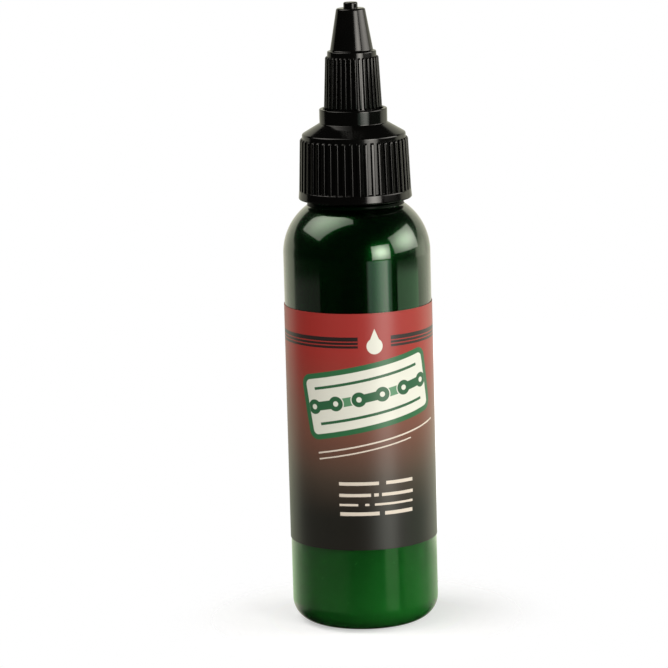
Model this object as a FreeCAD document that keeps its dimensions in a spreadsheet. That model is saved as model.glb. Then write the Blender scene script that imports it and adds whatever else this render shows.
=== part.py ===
import FreeCAD, Part
import math
import os
import Sketcher

# A small bullet-shaped lube bottle with a wrap-round label and a two-piece twist-open closure.
# The axis is +Z, the resting plane is z = 0 and the label's front faces -Y. Sizes are in millimetres.

DRIVING_SIZES = {
    # bottle
    "body_radius": (15.9, "outside radius of the straight wall"),
    "wall": (0.8, "wall thickness of the bottle"),
    "base_corner": (4.8, "rounding between the base and the wall"),
    "foot_radius": (9.0, "inner radius of the flat standing ring"),
    "push_up": (1.7, "rise of the domed base over the standing ring"),
    "wall_top": (81.1, "height where the wall turns into the dome"),
    "dome_radius": (12.7, "radius of the dome's arc"),
    "bead_radius": (10.4, "radius of the bead under the closure"),
    "bead_height": (0.9, "straight height of the bead above the dome"),
    "bead_round": (0.45, "rounding of the bead's upper edge"),
    "neck_radius": (8.75, "outside radius of the neck under its thread"),
    "neck_bore": (7.3, "inside radius of the neck"),
    "neck_height": (13.7, "height of the neck above the bead"),
    "lip_round": (0.35, "rounding of the neck's lip"),
    # label
    "label_bottom": (18.6, "height of the label's lower edge"),
    "label_height": (51.6, "height of the label"),
    "film": (0.1, "thickness of the label film"),
    "glue": (0.05, "thickness of the glue under the label"),
    "seam_gap": (2.2, "gap between the label's ends at the back"),
    # contents
    "fill_level": (66.0, "height of the lube's surface"),
    "fill_clearance": (0.05, "space between the lube and the bottle"),
    # closure base
    "flange_ledge": (0.7, "how far the ring under the ribs stands out from the skirt"),
    "flange_height": (2.0, "height of the ring under the ribs"),
    "flange_round": (0.3, "rounding of the ring's edges"),
    "flange_lift": (0.4, "gap between the bead and the ring"),
    "thread_depth": (1.0, "how far the neck's thread stands out"),
    "thread_clearance": (0.4, "space between the neck's thread and the skirt"),
    "skirt_wall": (1.0, "wall of the skirt between the ribs, at the shoulder"),
    "skirt_taper": (0.4, "how much wider the skirt is at the ring than at the shoulder"),
    "shoulder_rise": (0.75, "height of the shoulder's edge above the neck's lip"),
    "shoulder_height": (2.3, "height of the conical shoulder"),
    "shoulder_round": (0.5, "rounding of the shoulder's edge"),
    "grip_count": (46, "ribs on the skirt"),
    "grip_width": (0.8, "width of a skirt rib"),
    "grip_depth": (0.5, "how far a skirt rib stands out"),
    "grip_round": (0.4, "rounding of a skirt rib's top"),
    "grip_drop": (0.45, "distance of the skirt ribs' tops below the shoulder's rounding"),
    "collar_radius": (7.3, "outside radius of the collar round the tip"),
    "collar_wall": (0.8, "wall of the collar"),
    "collar_height": (3.1, "height of the collar above the shoulder"),
    "collar_round": (0.25, "rounding of the collar's rim"),
    "collar_floor": (0.55, "height of the collar's floor above the shoulder"),
    "plug_clearance": (0.1, "space between the plug seal and the neck's bore"),
    "plug_wall": (0.9, "wall of the plug seal"),
    "plug_depth": (3.0, "how far the plug seal reaches into the neck"),
    "funnel_height": (1.8, "height of the funnel from the plug seal to the spout"),
    "spout_radius": (4.2, "outside radius of the spout inside the tip"),
    "spout_bore": (3.1, "inside radius of the spout"),
    "spout_height": (13.2, "height of the spout above the collar's floor"),
    "pin_radius": (1.53, "radius of the pin that closes the orifice"),
    "pin_rise": (1.3, "how far the pin stands out of the nozzle"),
    "pin_round": (0.35, "rounding of the pin's end"),
    "web_count": (3, "webs that carry the pin in the spout"),
    "web_width": (1.0, "width of a web"),
    "web_height": (2.6, "height of a web, from the spout's end down"),
    "pin_foot": (1.0, "length of the pin below the webs"),
    # twist tip
    "running_clearance": (0.1, "space round the spout and the pin"),
    "seat_gap": (0.1, "space between the tip and the collar's floor"),
    "sleeve_foot_radius": (5.95, "sleeve radius between the ribs, at its lower end"),
    "sleeve_top_radius": (5.25, "sleeve radius between the ribs, under the ledge"),
    "sleeve_height": (14.8, "height of the sleeve up to the ledge"),
    "ledge_round": (0.25, "rounding of the ledge's edge"),
    "tip_grip_count": (34, "ribs on the tip"),
    "tip_grip_width": (0.55, "width of a tip rib"),
    "tip_grip_depth": (0.42, "how far a tip rib stands out"),
    "tip_grip_round": (0.3, "rounding of a tip rib's ends"),
    "tip_grip_foot": (2.5, "height of the tip ribs' lower ends above the tip's end"),
    "tip_grip_top": (1.15, "distance of the tip ribs' upper ends below the ledge"),
    "nozzle_foot_radius": (4.65, "nozzle radius at the ledge"),
    "nozzle_top_radius": (3.08, "nozzle radius at its end"),
    "nozzle_height": (9.1, "height of the nozzle above the ledge"),
    "nozzle_wall": (1.1, "wall of the nozzle"),
    "nozzle_round": (0.45, "rounding of the nozzle's end"),
    "nozzle_foot_round": (0.35, "rounding between the nozzle and the ledge"),
    "orifice_land": (1.2, "length of the orifice"),
    "bore_headroom": (0.4, "space above the spout's end"),
}

# Heights and radii that follow from the driving sizes
DOME_TOP = "sqrt(dim.dome_radius^2 - (dim.bead_radius - dim.body_radius + dim.dome_radius)^2)"
BEAD_TOP = f"dim.wall_top + {DOME_TOP} + dim.bead_height"
NECK_TOP = f"{BEAD_TOP} + dim.neck_height"
CAVITY_DOME_REACH = "dim.neck_bore - dim.body_radius + dim.dome_radius"
CAVITY_DOME_TOP = f"sqrt((dim.dome_radius - dim.wall)^2 - ({CAVITY_DOME_REACH})^2)"
CAVITY_NECK = f"dim.wall_top + {CAVITY_DOME_TOP}"
BASE_ARC = "(dim.foot_radius^2 + dim.push_up^2) / (2 * dim.push_up)"
CORNER_START = "dim.body_radius - dim.base_corner"
SKIRT_BORE = "dim.neck_radius + dim.thread_depth + dim.thread_clearance"
SKIRT_TOP_RADIUS = f"{SKIRT_BORE} + dim.skirt_wall"
SKIRT_FOOT_RADIUS = f"{SKIRT_TOP_RADIUS} + dim.skirt_taper"
FLANGE_RADIUS = f"{SKIRT_FOOT_RADIUS} + dim.flange_ledge"
FLANGE_BOTTOM = f"{BEAD_TOP} + dim.flange_lift"
FLANGE_TOP = f"{FLANGE_BOTTOM} + dim.flange_height"
SHOULDER_EDGE = f"{NECK_TOP} + dim.shoulder_rise"
SHOULDER_TOP = f"{SHOULDER_EDGE} + dim.shoulder_height"
COLLAR_TOP = f"{SHOULDER_TOP} + dim.collar_height"
COLLAR_FLOOR = f"{SHOULDER_TOP} + dim.collar_floor"
COLLAR_BORE = "dim.collar_radius - dim.collar_wall"
PLUG_RADIUS = "dim.neck_bore - dim.plug_clearance"
PLUG_BORE = f"{PLUG_RADIUS} - dim.plug_wall"
SPOUT_TOP = f"{COLLAR_FLOOR} + dim.spout_height"
TIP_BOTTOM = f"{COLLAR_FLOOR} + dim.seat_gap"
LEDGE = f"{TIP_BOTTOM} + dim.sleeve_height"
NOZZLE_TOP = f"{LEDGE} + dim.nozzle_height"
PIN_TOP = f"{NOZZLE_TOP} + dim.pin_rise"
TIP_BORE = "dim.spout_radius + dim.running_clearance"
ORIFICE = "dim.pin_radius + dim.running_clearance"
BORE_TOP = f"{SPOUT_TOP} + dim.bore_headroom"

doc = FreeCAD.newDocument("chain_lube_bottle")


def make_sheet():
    """The driving sizes, one row each: name, value under an alias, and what it measures."""
    sheet = doc.addObject("Spreadsheet::Sheet", "dim")
    for row, (alias, (value, meaning)) in enumerate(DRIVING_SIZES.items(), start=1):
        sheet.set(f"A{row}", alias)
        sheet.set(f"B{row}", str(value))
        sheet.setAlias(f"B{row}", alias)
        sheet.set(f"C{row}", meaning)
    doc.recompute()
    return sheet


sheet = make_sheet()


def size(expression):
    """The value of an expression of sheet cells."""
    return float(sheet.evalExpression(expression))


def make_body(name):
    body = doc.addObject("PartDesign::Body", name)
    body.Label = name
    return body


def origin_feature(body, role):
    return next(feature for feature in body.Origin.OriginFeatures if feature.Role == role)


def arc_between(start, end, radius, bulge):
    """The shorter arc of a radius between two points; bulge 1 has its centre left of the way, -1 right."""
    chord = math.dist(start, end)
    along = ((end[0] - start[0]) / chord, (end[1] - start[1]) / chord)
    reach = bulge * math.sqrt(radius ** 2 - (chord / 2) ** 2)
    centre = ((start[0] + end[0]) / 2 - along[1] * reach, (start[1] + end[1]) / 2 + along[0] * reach)
    angles = [math.atan2(point[1] - centre[1], point[0] - centre[0]) for point in (start, end)]
    if bulge < 0:
        angles.reverse()
    circle = Part.Circle(FreeCAD.Vector(*centre, 0), FreeCAD.Vector(0, 0, 1), radius)
    return Part.ArcOfCircle(circle, angles[0], angles[1])


def fix_point(sketch, geometry, end, corner):
    """Ties one end of a sketch curve to its radius and height."""
    for direction, axis, expression in (("DistanceX", -2, corner[0]), ("DistanceY", -1, corner[1])):
        if expression == "0":
            sketch.addConstraint(Sketcher.Constraint("PointOnObject", geometry, end, axis))
        else:
            rule = Sketcher.Constraint(direction, -1, 1, geometry, end, size(expression))
            index = sketch.addConstraint(rule)
            sketch.setExpression(f"Constraints[{index}]", expression)


def section(body, name, corners):
    """A closed half-section on the XZ plane.

    A corner is (radius, height), both expressions. A corner with a third and a fourth entry ends an
    arc of that radius, with its centre on the left (1) or right (-1) of the way to the corner.
    """
    sketch = body.newObject("Sketcher::SketchObject", name)
    sketch.AttachmentSupport = [(origin_feature(body, "XZ_Plane"), "")]
    sketch.MapMode = "FlatFace"
    points = [(size(corner[0]), size(corner[1])) for corner in corners]
    ends = []
    for index, corner in enumerate(corners):
        start, end = points[index - 1], points[index]
        if len(corner) == 2:
            line = Part.LineSegment(FreeCAD.Vector(*start, 0), FreeCAD.Vector(*end, 0))
            geometry = sketch.addGeometry(line)
            ends.append((geometry, 1, 2))
        else:
            radius, bulge = corner[2:]
            geometry = sketch.addGeometry(arc_between(start, end, size(radius), bulge))
            ends.append((geometry, 1, 2) if bulge > 0 else (geometry, 2, 1))
            rule = sketch.addConstraint(Sketcher.Constraint("Radius", geometry, size(radius)))
            sketch.setExpression(f"Constraints[{rule}]", radius)
    for index, (geometry, first, last) in enumerate(ends):
        following, following_first = ends[(index + 1) % len(ends)][:2]
        sketch.addConstraint(Sketcher.Constraint("Coincident", geometry, last, following, following_first))
        fix_point(sketch, geometry, last, corners[index])
    return sketch


def revolve(body, name, corners, kind="PartDesign::Revolution"):
    """Turns a half-section round the axis, adding to the body or (as a groove) cutting it."""
    sketch = section(body, f"{name}_section", corners)
    feature = body.newObject(kind, name)
    feature.Profile = sketch
    feature.ReferenceAxis = (sketch, ["V_Axis"])
    feature.Angle = 360
    doc.recompute()
    return feature


def fins(body, name, corners, width, count):
    """A flat fin, drawn from the side, repeated round the axis."""
    sketch = section(body, f"{name}_side", corners)
    fin = body.newObject("PartDesign::Pad", name)
    fin.Profile = sketch
    fin.SideType = "Symmetric"
    fin.setExpression("Length", width)
    ring = body.newObject("PartDesign::PolarPattern", f"{name}_ring")
    ring.Originals = [fin]
    ring.Axis = (origin_feature(body, "Z_Axis"), [""])
    ring.Angle = 360
    ring.setExpression("Occurrences", count)
    body.Tip = ring
    doc.recompute()
    return ring


def round_edges(body, name, base, circles, radius):
    """Rounds the circular edges of a feature that have these radii and heights."""
    wanted = [(size(circle[0]), size(circle[1])) for circle in circles]
    names = []
    for index, edge in enumerate(base.Shape.Edges, start=1):
        if not edge.Degenerated and isinstance(edge.Curve, Part.Circle):
            found = (edge.Curve.Radius, edge.Curve.Center.z)
            if any(math.dist(found, circle) < 1e-4 for circle in wanted):
                names.append(f"Edge{index}")
    if len(names) < len(wanted):
        raise RuntimeError(f"{name}: {len(names)} of {len(wanted)} edges found")
    fillet = body.newObject("PartDesign::Fillet", name)
    fillet.Base = (base, names)
    fillet.setExpression("Radius", radius)
    doc.recompute()
    return fillet


def make_bottle():
    """The blown bottle: domed base, straight wall, dome, bead and neck, hollow throughout."""
    body = make_body("bottle")
    outside = revolve(body, "bottle_outside", [
        ("0", NECK_TOP),
        ("0", "dim.push_up"),
        ("dim.foot_radius", "0", BASE_ARC, -1),
        (CORNER_START, "0"),
        ("dim.body_radius", "dim.base_corner", "dim.base_corner", 1),
        ("dim.body_radius", "dim.wall_top"),
        ("dim.bead_radius", f"dim.wall_top + {DOME_TOP}", "dim.dome_radius", 1),
        ("dim.bead_radius", BEAD_TOP),
        ("dim.neck_radius", BEAD_TOP),
        ("dim.neck_radius", NECK_TOP),
    ])
    bead = round_edges(body, "bead_rounding", outside, [("dim.bead_radius", BEAD_TOP)], "dim.bead_round")
    round_edges(body, "lip_rounding", bead, [("dim.neck_radius", NECK_TOP)], "dim.lip_round")
    revolve(body, "cavity", [
        ("0", NECK_TOP),
        ("0", "dim.push_up + dim.wall"),
        ("dim.foot_radius", "dim.wall", BASE_ARC, -1),
        (CORNER_START, "dim.wall"),
        ("dim.body_radius - dim.wall", "dim.base_corner", "dim.base_corner - dim.wall", 1),
        ("dim.body_radius - dim.wall", "dim.wall_top"),
        ("dim.neck_bore", CAVITY_NECK, "dim.dome_radius - dim.wall", 1),
        ("dim.neck_bore", NECK_TOP),
    ], "PartDesign::Groove")
    return body


def make_label():
    """The label film, bent round the wall with its seam at the back."""
    body = make_body("label")
    inner = "dim.body_radius + dim.glue"
    outer = f"{inner} + dim.film"
    top = "dim.label_bottom + dim.label_height"
    sketch = section(body, "label_section", [
        (inner, "dim.label_bottom"),
        (outer, "dim.label_bottom"),
        (outer, top),
        (inner, top),
    ])
    film = body.newObject("PartDesign::Revolution", "label_film")
    film.Profile = sketch
    film.ReferenceAxis = (sketch, ["V_Axis"])
    film.Midplane = True
    film.setExpression("Angle", f"360 - dim.seam_gap / ({inner}) * 180 / pi")
    body.Placement.Rotation = FreeCAD.Rotation(FreeCAD.Vector(0, 0, 1), -90)
    doc.recompute()
    return body


def make_lube_fill():
    """The lube in the bottle, up to its level."""
    body = make_body("lube_fill")
    floor = "dim.wall + dim.fill_clearance"
    side = "dim.body_radius - dim.wall - dim.fill_clearance"
    revolve(body, "contents", [
        ("0", "dim.fill_level"),
        ("0", f"dim.push_up + {floor}"),
        ("dim.foot_radius", floor, BASE_ARC, -1),
        (CORNER_START, floor),
        (side, "dim.base_corner", "dim.base_corner - dim.wall - dim.fill_clearance", 1),
        (side, "dim.fill_level"),
    ])
    return body


def make_closure_base():
    """The screw base: flange, ribbed skirt, shoulder, collar, plug seal, spout, and the pin on its webs."""
    body = make_body("closure_base")
    shell = revolve(body, "closure_shell", [
        (SKIRT_BORE, NECK_TOP),
        (SKIRT_BORE, FLANGE_BOTTOM),
        (FLANGE_RADIUS, FLANGE_BOTTOM),
        (FLANGE_RADIUS, FLANGE_TOP),
        (SKIRT_FOOT_RADIUS, FLANGE_TOP),
        (SKIRT_TOP_RADIUS, SHOULDER_EDGE),
        ("dim.collar_radius", SHOULDER_TOP),
        ("dim.collar_radius", COLLAR_TOP),
        (COLLAR_BORE, COLLAR_TOP),
        (COLLAR_BORE, COLLAR_FLOOR),
        ("dim.spout_radius", COLLAR_FLOOR),
        ("dim.spout_radius", SPOUT_TOP),
        ("dim.spout_bore", SPOUT_TOP),
        ("dim.spout_bore", f"{NECK_TOP} + dim.funnel_height"),
        (PLUG_BORE, NECK_TOP),
        (PLUG_BORE, f"{NECK_TOP} - dim.plug_depth"),
        (PLUG_RADIUS, f"{NECK_TOP} - dim.plug_depth"),
        (PLUG_RADIUS, NECK_TOP),
    ])
    shoulder = round_edges(body, "shoulder_rounding", shell,
                           [(SKIRT_TOP_RADIUS, SHOULDER_EDGE)], "dim.shoulder_round")
    collar_edges = [("dim.collar_radius", COLLAR_TOP), (COLLAR_BORE, COLLAR_TOP)]
    collar = round_edges(body, "collar_rounding", shoulder, collar_edges, "dim.collar_round")
    flange_edges = [(FLANGE_RADIUS, FLANGE_TOP), (FLANGE_RADIUS, FLANGE_BOTTOM)]
    round_edges(body, "flange_rounding", collar, flange_edges, "dim.flange_round")
    grip_top = f"{SHOULDER_EDGE} - dim.shoulder_round - dim.grip_drop"
    grip_root = f"{SKIRT_BORE} + dim.skirt_wall / 2"
    fins(body, "grip", [
        (grip_root, FLANGE_TOP),
        (f"{SKIRT_FOOT_RADIUS} + dim.grip_depth", FLANGE_TOP),
        (f"{SKIRT_TOP_RADIUS} + dim.grip_depth", f"{grip_top} - dim.grip_round"),
        (f"{SKIRT_TOP_RADIUS} + dim.grip_depth - dim.grip_round", grip_top, "dim.grip_round", 1),
        (grip_root, grip_top),
    ], "dim.grip_width", "dim.grip_count")
    web_bottom = f"{SPOUT_TOP} - dim.web_height"
    web_root = "(dim.spout_bore + dim.spout_radius) / 2"
    fins(body, "web", [
        ("0", web_bottom),
        (web_root, web_bottom),
        (web_root, SPOUT_TOP),
        ("0", SPOUT_TOP),
    ], "dim.web_width", "dim.web_count")
    revolve(body, "pin", [
        ("0", PIN_TOP),
        ("0", f"{web_bottom} - dim.pin_foot"),
        ("dim.pin_radius", f"{web_bottom} - dim.pin_foot"),
        ("dim.pin_radius", f"{PIN_TOP} - dim.pin_round"),
        ("dim.pin_radius - dim.pin_round", PIN_TOP, "dim.pin_round", 1),
    ])
    return body


def make_twist_tip():
    """The tip that turns on the spout: ribbed sleeve, ledge, conical nozzle and orifice."""
    body = make_body("twist_tip")
    land = f"{NOZZLE_TOP} - dim.orifice_land"
    shell = revolve(body, "tip_shell", [
        (TIP_BORE, BORE_TOP),
        (TIP_BORE, TIP_BOTTOM),
        ("dim.sleeve_foot_radius", TIP_BOTTOM),
        ("dim.sleeve_top_radius", LEDGE),
        ("dim.nozzle_foot_radius", LEDGE),
        ("dim.nozzle_top_radius", NOZZLE_TOP),
        (ORIFICE, NOZZLE_TOP),
        (ORIFICE, land),
        ("dim.nozzle_top_radius - dim.nozzle_wall", land),
        ("dim.nozzle_foot_radius - dim.nozzle_wall", BORE_TOP),
    ])
    end = round_edges(body, "nozzle_rounding", shell,
                      [("dim.nozzle_top_radius", NOZZLE_TOP)], "dim.nozzle_round")
    foot = round_edges(body, "nozzle_foot_rounding", end,
                       [("dim.nozzle_foot_radius", LEDGE)], "dim.nozzle_foot_round")
    round_edges(body, "ledge_rounding", foot, [("dim.sleeve_top_radius", LEDGE)], "dim.ledge_round")
    taper = "(dim.sleeve_foot_radius - dim.sleeve_top_radius) / dim.sleeve_height"
    low = f"{TIP_BOTTOM} + dim.tip_grip_foot"
    high = f"{LEDGE} - dim.tip_grip_top"
    root = f"(dim.sleeve_top_radius + {TIP_BORE}) / 2"
    low_crest = f"dim.sleeve_foot_radius - dim.tip_grip_foot * {taper} + dim.tip_grip_depth"
    high_crest = f"dim.sleeve_top_radius + dim.tip_grip_top * {taper} + dim.tip_grip_depth"
    fins(body, "tip_grip", [
        (root, low),
        (f"{low_crest} - dim.tip_grip_round", low),
        (low_crest, f"{low} + dim.tip_grip_round", "dim.tip_grip_round", 1),
        (high_crest, f"{high} - dim.tip_grip_round"),
        (f"{high_crest} - dim.tip_grip_round", high, "dim.tip_grip_round", 1),
        (root, high),
    ], "dim.tip_grip_width", "dim.tip_grip_count")
    return body


def write_parts(bodies):
    """Checks every object and every solid, then writes one file for each sub-part."""
    doc.recompute()
    for item in doc.Objects:
        if "Invalid" in item.State or "Error" in item.State:
            raise RuntimeError(f"{item.Name} failed: {item.State}")
    for body in bodies:
        if body.Shape.isNull() or not body.Shape.isValid() or len(body.Shape.Solids) != 1:
            raise RuntimeError(f"{body.Label} is not one valid solid")
    os.makedirs("parts", exist_ok=True)
    for body in bodies:
        body.Shape.exportStep(f"parts/{body.Label}.step")
        print(f"{body.Label}: {body.Shape.Volume:.1f} mm3, {len(body.Shape.Faces)} faces")


write_parts([make_bottle(), make_label(), make_lube_fill(), make_closure_base(), make_twist_tip()])
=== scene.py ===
import math
from functools import partial, reduce
from operator import or_

import bmesh
import bpy
from bpy.props import FloatProperty, FloatVectorProperty, IntProperty, PointerProperty
from mathutils import Matrix, Vector


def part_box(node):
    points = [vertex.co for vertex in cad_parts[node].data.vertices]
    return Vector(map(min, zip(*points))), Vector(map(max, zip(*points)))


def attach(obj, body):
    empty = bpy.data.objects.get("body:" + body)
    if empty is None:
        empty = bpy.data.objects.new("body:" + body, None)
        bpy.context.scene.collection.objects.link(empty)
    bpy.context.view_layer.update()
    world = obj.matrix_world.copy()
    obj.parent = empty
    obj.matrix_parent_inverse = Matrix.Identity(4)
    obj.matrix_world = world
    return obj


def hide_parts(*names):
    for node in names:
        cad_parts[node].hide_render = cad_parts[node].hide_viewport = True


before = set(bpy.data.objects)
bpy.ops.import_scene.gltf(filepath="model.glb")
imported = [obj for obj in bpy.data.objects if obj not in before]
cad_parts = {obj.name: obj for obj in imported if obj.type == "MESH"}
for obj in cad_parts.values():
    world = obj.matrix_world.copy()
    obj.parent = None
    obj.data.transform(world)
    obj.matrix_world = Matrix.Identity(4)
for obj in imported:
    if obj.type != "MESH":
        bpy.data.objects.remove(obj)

bl_info = {
    "name": "Chain lube bottle",
    "version": (1, 0, 0),
    "blender": (4, 5, 0),
    "location": "View3D > Sidebar > Lube bottle",
    "description": "Builds the visible pieces of a chain lube bottle around its packed frame",
    "category": "Object",
}

MM = 0.001
TINY = 1e-6
FULL_TURN = 2 * math.pi
QUARTER_TURN = math.pi / 2
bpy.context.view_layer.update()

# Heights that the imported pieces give
BOTTLE_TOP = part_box("bottle")[1].z
FILL_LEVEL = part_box("lube_fill")[1].z
LABEL_LOW, LABEL_HIGH = (corner.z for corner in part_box("label"))
FLANGE_BOTTOM, PIN_TOP = (corner.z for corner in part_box("closure_base"))
TIP_BOTTOM, NOZZLE_TOP = (corner.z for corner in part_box("twist_tip"))


def length(description, millimetres):
    return partial(FloatProperty, description=description, default=millimetres * MM, min=0.0,
                   precision=5, subtype="DISTANCE", unit="LENGTH")


def angle(description, degrees):
    return partial(FloatProperty, description=description, default=math.radians(degrees),
                   subtype="ANGLE", unit="ROTATION")


def colour(description, *parts):
    return partial(FloatVectorProperty, description=description, default=parts, min=0.0, max=1.0,
                   size=3, subtype="COLOR")


def level(description, value):
    return partial(FloatProperty, description=description, default=value, min=0.0)


def whole(description, number):
    return partial(IntProperty, description=description, default=number, min=2)


def named(group):
    """Makes the properties of a group, each named after its attribute."""
    for attribute, entry in group.__annotations__.items():
        group.__annotations__[attribute] = entry(name=attribute.replace("_", " ").capitalize())
    return group


@named
class BottleSettings(bpy.types.PropertyGroup):
    """Sizes and colours of the bottle and of the lube in it"""
    body_radius: length("Outside radius of the straight wall", 15.9)
    wall: length("Wall thickness", 0.8)
    base_corner: length("Rounding between the base and the wall", 4.8)
    foot_radius: length("Inner radius of the standing ring", 9.0)
    push_up: length("Rise of the domed base", 1.7)
    wall_top: length("Height where the wall turns into the dome", 81.1)
    dome_radius: length("Radius of the dome's arc", 12.7)
    bead_radius: length("Radius of the bead under the closure", 10.4)
    bead_height: length("Straight height of the bead", 0.9)
    bead_fillet: length("Hollow rounding between the dome and the bead", 0.85)
    bead_rounding: length("Rounding of the bead's upper edge", 0.45)
    neck_radius: length("Outside radius of the neck under its thread", 8.75)
    neck_bore: length("Inside radius of the neck", 7.3)
    lip_rounding: length("Rounding of the neck's lip", 0.35)
    thread_depth: length("How far the neck's thread stands out", 0.95)
    thread_lead: length("Rise of the thread in one turn", 3.175)
    thread_turns: level("Turns of the neck's thread", 1.6)
    thread_start: length("Height of the thread's lower end above the bead", 3.9)
    meniscus: length("Rise of the lube where it meets the wall", 0.6)
    wetting: length("How far the lube reaches into the inner wall's surface", 0.02)
    lower_green: colour("Tint of the wall below the label", 0.055, 0.335, 0.08)
    # the upper tint is nearly black: painted shade over the bottle's top above the label
    upper_green: colour("Tint of the wall above the label", 0.002, 0.030, 0.007)
    green_sheen: colour("Tint of the light mirrored from within the wall", 0.02, 0.45, 0.06)
    lube: colour("Colour of the settled lube", 0.32, 0.54, 0.32)


@named
class LabelSettings(bpy.types.PropertyGroup):
    """Sizes, places and colours of the label's print"""
    glue: length("Thickness of the glue under the film", 0.05)
    film: length("Thickness of the film", 0.1)
    seam_gap: length("Gap between the label's ends at the back", 2.2)
    red: colour("Ground colour at the top", 0.318, 0.0195, 0.016)
    rust: colour("Ground colour at the middle", 0.17, 0.061, 0.040)
    umber: colour("Ground colour under the middle", 0.067, 0.045, 0.032)
    soot: colour("Ground colour at the bottom", 0.0105, 0.0097, 0.0077)
    cream: colour("Pale print", 0.72, 0.73, 0.665)
    border_green: colour("Rim of the panel", 0.022, 0.129, 0.049)
    link_green: colour("Front links of the chain sign", 0.020, 0.107, 0.045)
    back_link_green: colour("Rear link of the chain sign", 0.09, 0.26, 0.134)
    fine_print: colour("Thin rules and bars", 0.67, 0.60, 0.525)
    stripe: colour("Stripes round the top", 0.018, 0.010, 0.010)
    panel_width: length("Width of the tilted panel", 31.0)
    panel_height: length("Height of the tilted panel", 14.3)
    panel_corner: length("Rounding of the panel's corners", 2.3)
    panel_rim: length("Width of the panel's green rim", 1.15)
    panel_right: length("Panel's middle, to the right of the front along the film", 2.1)
    panel_up: length("Height of the panel's middle", 52.1)
    panel_tilt: angle("Slope of the panel and of the line under it", 10.6)
    link_pitch: length("Distance between the chain sign's pins", 5.2)
    link_radius: length("Radius of the chain sign's links round a pin", 1.6)
    link_waist: length("Half the height of a link between its pins", 0.95)
    link_hole: length("Radius of the pale spot on a pin", 0.58)


@named
class ClosureSettings(bpy.types.PropertyGroup):
    """Sizes and colour of the closure's screw base"""
    flange_height: length("Height of the ring under the ribs", 2.0)
    flange_ledge: length("How far the ring stands out from the skirt", 0.7)
    flange_rounding: length("Rounding of the ring's edges", 0.3)
    flange_draft: length("How much narrower the ring is at its top", 0.18)
    skirt_bore: length("Inside radius of the skirt", 10.15)
    skirt_wall: length("Wall of the skirt at the shoulder", 1.0)
    skirt_taper: length("How much wider the skirt is at the ring", 0.4)
    shoulder_rise: length("Height of the shoulder's edge above the neck's lip", 0.75)
    shoulder_height: length("Height of the conical shoulder", 2.3)
    shoulder_rounding: length("Rounding of the shoulder's edge", 0.5)
    collar_radius: length("Outside radius of the collar", 7.3)
    collar_wall: length("Wall of the collar", 0.8)
    collar_height: length("Height of the collar above the shoulder", 3.1)
    collar_rounding: length("Rounding of the collar's rim", 0.25)
    collar_floor: length("Height of the collar's floor above the shoulder", 0.55)
    plug_radius: length("Outside radius of the plug seal", 7.2)
    plug_wall: length("Wall of the plug seal", 0.9)
    plug_depth: length("How far the plug seal reaches into the neck", 3.0)
    funnel_height: length("Height of the funnel under the spout", 1.8)
    spout_radius: length("Outside radius of the spout", 4.2)
    spout_bore: length("Inside radius of the spout", 3.1)
    spout_height: length("Height of the spout above the collar's floor", 13.2)
    pin_radius: length("Radius of the pin", 1.53)
    pin_rounding: length("Rounding of the pin's end", 0.35)
    pin_foot: length("Length of the pin below the webs", 1.0)
    web_count: whole("Webs that carry the pin", 3)
    web_width: length("Width of a web", 1.0)
    web_height: length("Height of a web", 2.6)
    rib_count: whole("Ribs on the skirt", 46)
    rib_width: length("Width of a skirt rib", 0.8)
    rib_depth: length("How far a skirt rib stands out", 0.5)
    rib_edge: length("Rounding of a rib's long edges", 0.17)
    rib_drop: length("Distance of the ribs' tops below the shoulder's rounding", 0.45)
    thread_depth: length("How far the skirt's thread stands in", 0.3)
    black: colour("Colour of the moulded plastic", 0.0012, 0.0012, 0.0011)


@named
class TipSettings(bpy.types.PropertyGroup):
    """Sizes of the twist tip"""
    bore: length("Inside radius of the sleeve", 4.3)
    headroom: length("Height of the bore above the spout's end", 0.4)
    sleeve_foot: length("Sleeve radius between the ribs, at its lower end", 5.95)
    sleeve_top: length("Sleeve radius between the ribs, under the ledge", 5.25)
    sleeve_height: length("Height of the sleeve up to the ledge", 14.8)
    ledge_rounding: length("Rounding of the ledge's edge", 0.25)
    nozzle_foot: length("Nozzle radius at the ledge", 4.65)
    nozzle_top: length("Nozzle radius at its end", 3.08)
    nozzle_wall: length("Wall of the nozzle", 1.1)
    nozzle_rounding: length("Rounding of the nozzle's end", 0.45)
    nozzle_foot_rounding: length("Rounding between the nozzle and the ledge", 0.35)
    orifice: length("Radius of the orifice", 1.63)
    orifice_land: length("Length of the orifice", 1.2)
    rib_count: whole("Ribs on the tip", 34)
    rib_width: length("Width of a tip rib", 0.55)
    rib_depth: length("How far a tip rib stands out", 0.42)
    rib_edge: length("Rounding of a rib's long edges", 0.14)
    rib_low_end: length("Height of the ribs' lower ends above the tip's end", 2.5)
    rib_high_end: length("Distance of the ribs' upper ends below the ledge", 1.15)


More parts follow.
